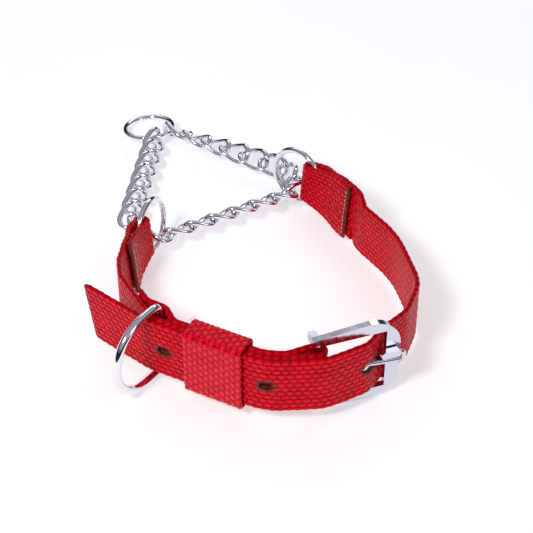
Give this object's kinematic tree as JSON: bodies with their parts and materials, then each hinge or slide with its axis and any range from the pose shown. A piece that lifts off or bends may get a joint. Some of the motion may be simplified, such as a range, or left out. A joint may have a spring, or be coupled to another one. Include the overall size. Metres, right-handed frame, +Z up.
{
  "type": "martingale dog collar",
  "caption": "Half-check dog collar: red webbing strap with a pin buckle, keeper and D-ring, closed at the back by a loop of chain through two O-rings and a leash ring.",
  "frame": {"origin": "bottom centre of the whole collar as it lies fastened on a table", "axes": "+Y from the buckle towards the leash ring, +Z up, +X to the right seen from the buckle"},
  "size_m": [0.1268, 0.1818, 0.0374],
  "materials": {
    "webbing": "coarse woven nylon webbing with a slight sheen",
    "thread": "waxed sewing thread",
    "buckle_chrome": "bright nickel plate on a stamped frame",
    "ring_chrome": "bright nickel plate on round wire",
    "chain_chrome": "bright nickel plate, slightly duller between links"
  },
  "bodies": {
    "collar": {"billet_strap": "webbing", "buckle_strap": "webbing", "buckle_frame": "buckle_chrome", "right_ring_stitching": "thread", "left_ring_stitching": "thread"},
    "right_ring": {"right_ring": "ring_chrome"},
    "left_ring": {"left_ring": "ring_chrome"},
    "buckle_tongue": {"buckle_tongue": "buckle_chrome"},
    "d_ring": {"d_ring": "ring_chrome"},
    "keeper_loop": {"keeper_loop": "webbing"},
    "chain_link_01": {"chain_link_01": "chain_chrome"},
    "chain_link_02": {"chain_link_02": "chain_chrome"},
    "chain_link_03": {"chain_link_03": "chain_chrome"},
    "chain_link_04": {"chain_link_04": "chain_chrome"},
    "chain_link_05": {"chain_link_05": "chain_chrome"},
    "chain_link_06": {"chain_link_06": "chain_chrome"},
    "chain_link_07": {"chain_link_07": "chain_chrome"},
    "chain_link_08": {"chain_link_08": "chain_chrome"},
    "chain_link_09": {"chain_link_09": "chain_chrome"},
    "chain_link_10": {"chain_link_10": "chain_chrome"},
    "chain_link_11": {"chain_link_11": "chain_chrome"},
    "chain_link_12": {"chain_link_12": "chain_chrome"},
    "chain_link_13": {"chain_link_13": "chain_chrome"},
    "chain_link_14": {"chain_link_14": "chain_chrome"},
    "chain_link_15": {"chain_link_15": "chain_chrome"},
    "chain_link_16": {"chain_link_16": "chain_chrome"},
    "chain_link_17": {"chain_link_17": "chain_chrome"},
    "chain_link_18": {"chain_link_18": "chain_chrome"},
    "chain_link_19": {"chain_link_19": "chain_chrome"},
    "chain_link_20": {"chain_link_20": "chain_chrome"},
    "chain_link_21": {"chain_link_21": "chain_chrome"},
    "chain_link_22": {"chain_link_22": "chain_chrome"},
    "chain_link_23": {"chain_link_23": "chain_chrome"},
    "leash_ring": {"leash_ring": "ring_chrome"}
  },
  "joints": [
    {"name": "right_ring_spin", "type": "hinge", "parent": "collar", "child": "right_ring", "pos_m": [0.01861, 0.03563, 0.01297], "axis": [0.638, 0.7512, -0.1694], "continuous": true},
    {"name": "left_ring_spin", "type": "hinge", "parent": "collar", "child": "left_ring", "pos_m": [-0.04099, 0.00289, 0.01343], "axis": [0.9237, -0.367, 0.1104], "continuous": true},
    {"name": "tongue_pivot", "type": "hinge", "parent": "collar", "child": "buckle_tongue", "pos_m": [0.02393, -0.08262, 0.01941], "axis": [0, -0.0628, -0.998], "range_deg": [0, 2.5]},
    {"name": "d_ring_swing", "type": "hinge", "parent": "collar", "child": "d_ring", "pos_m": [-0.03389, -0.06299, 0.01737], "axis": [0, 0.0628, 0.998], "range_deg": [-55, 60]},
    {"name": "keeper_slide", "type": "slide", "parent": "collar", "child": "keeper_loop", "axis": [0.8889, -0.4571, 0.0288], "range_m": [-0.004, 0.004]},
    {"name": "chain_link_01_twist", "type": "hinge", "parent": "collar", "child": "chain_link_01", "pos_m": [-0.04324, 0.06626, 0.00647], "axis": [-0.1391, -0.9899, 0.0273], "range_deg": [-4, 4]},
    {"name": "chain_link_02_rock", "type": "hinge", "parent": "collar", "child": "chain_link_02", "pos_m": [-0.04445, 0.05765, 0.00671], "axis": [0, 0, -1], "range_deg": [-6, 6]},
    {"name": "chain_link_03_rock", "type": "hinge", "parent": "collar", "child": "chain_link_03", "pos_m": [-0.04566, 0.04903, 0.00694], "axis": [0, 0, 1], "range_deg": [-6, 6]},
    {"name": "chain_link_04_rock", "type": "hinge", "parent": "collar", "child": "chain_link_04", "pos_m": [-0.04687, 0.04042, 0.00718], "axis": [0, 0, -1], "range_deg": [-6, 6]},
    {"name": "chain_link_05_rock", "type": "hinge", "parent": "collar", "child": "chain_link_05", "pos_m": [-0.04808, 0.03181, 0.00742], "axis": [0, 0, 1], "range_deg": [-6, 6]},
    {"name": "chain_link_06_rock", "type": "hinge", "parent": "collar", "child": "chain_link_06", "pos_m": [-0.04929, 0.0232, 0.00766], "axis": [0, 0, -1], "range_deg": [-6, 6]},
    {"name": "chain_link_07_rock", "type": "hinge", "parent": "collar", "child": "chain_link_07", "pos_m": [-0.0505, 0.01458, 0.00789], "axis": [0, 0, 1], "range_deg": [-2.1, 2.1]},
    {"name": "chain_link_08_rock", "type": "hinge", "parent": "collar", "child": "chain_link_08", "pos_m": [-0.04721, 0.00671, 0.00814], "axis": [0, 0, -1], "range_deg": [-2.5, 2.5]},
    {"name": "chain_link_09_rock", "type": "hinge", "parent": "collar", "child": "chain_link_09", "pos_m": [-0.03935, 0.00279, 0.00831], "axis": [0, 0, 1], "range_deg": [-3.4, 3.4]},
    {"name": "chain_link_10_rock", "type": "hinge", "parent": "collar", "child": "chain_link_10", "pos_m": [-0.03072, 0.00506, 0.00821], "axis": [0, 0, -1], "range_deg": [-4.2, 4.2]},
    {"name": "chain_link_11_rock", "type": "hinge", "parent": "collar", "child": "chain_link_11", "pos_m": [-0.0222, 0.00948, 0.00815], "axis": [0, 0, 1], "range_deg": [-6, 6]},
    {"name": "chain_link_12_rock", "type": "hinge", "parent": "collar", "child": "chain_link_12", "pos_m": [-0.01368, 0.01391, 0.00809], "axis": [0, 0, -1], "range_deg": [-6, 6]},
    {"name": "chain_link_13_rock", "type": "hinge", "parent": "collar", "child": "chain_link_13", "pos_m": [-0.00516, 0.01833, 0.00803], "axis": [0, 0, 1], "range_deg": [-6, 6]},
    {"name": "chain_link_14_rock", "type": "hinge", "parent": "collar", "child": "chain_link_14", "pos_m": [0.00336, 0.02275, 0.00797], "axis": [0, 0, -1], "range_deg": [-6, 6]},
    {"name": "chain_link_15_rock", "type": "hinge", "parent": "collar", "child": "chain_link_15", "pos_m": [0.01188, 0.02717, 0.00791], "axis": [0, 0, 1], "range_deg": [-2.5, 2.5]},
    {"name": "chain_link_16_rock", "type": "hinge", "parent": "collar", "child": "chain_link_16", "pos_m": [0.01688, 0.03458, 0.00765], "axis": [0, 0, -1], "range_deg": [-2.1, 2.1]},
    {"name": "chain_link_17_rock", "type": "hinge", "parent": "collar", "child": "chain_link_17", "pos_m": [0.01573, 0.04331, 0.00724], "axis": [0, 0, 1], "range_deg": [-2.5, 2.5]},
    {"name": "chain_link_18_rock", "type": "hinge", "parent": "collar", "child": "chain_link_18", "pos_m": [0.00904, 0.04943, 0.00697], "axis": [0, 0, -1], "range_deg": [-2.5, 2.5]},
    {"name": "chain_link_19_twist", "type": "hinge", "parent": "collar", "child": "chain_link_19", "pos_m": [0.00044, 0.05433, 0.00671], "axis": [-0.8686, 0.4948, -0.0259], "range_deg": [-3.5, 3.5]},
    {"name": "chain_link_20_rock", "type": "hinge", "parent": "collar", "child": "chain_link_20", "pos_m": [-0.00816, 0.05923, 0.00645], "axis": [0, 0, -1], "range_deg": [-4, 4]},
    {"name": "chain_link_21_rock", "type": "hinge", "parent": "collar", "child": "chain_link_21", "pos_m": [-0.01676, 0.06413, 0.0062], "axis": [0, 0, 1], "range_deg": [-3.5, 3.5]},
    {"name": "chain_link_22_twist", "type": "hinge", "parent": "collar", "child": "chain_link_22", "pos_m": [-0.02536, 0.06903, 0.00594], "axis": [0.8686, -0.4948, 0.0259], "range_deg": [-3.5, 3.5]},
    {"name": "chain_link_23_twist", "type": "hinge", "parent": "collar", "child": "chain_link_23", "pos_m": [-0.03395, 0.07393, 0.00569], "axis": [-0.8686, 0.4948, -0.0259], "range_deg": [-3, 3]},
    {"name": "leash_ring_swing", "type": "hinge", "parent": "collar", "child": "leash_ring", "pos_m": [-0.03984, 0.07267, 0.00593], "axis": [0.6987, 0.7076, -0.1061], "range_deg": [0, 18]}
  ]
}
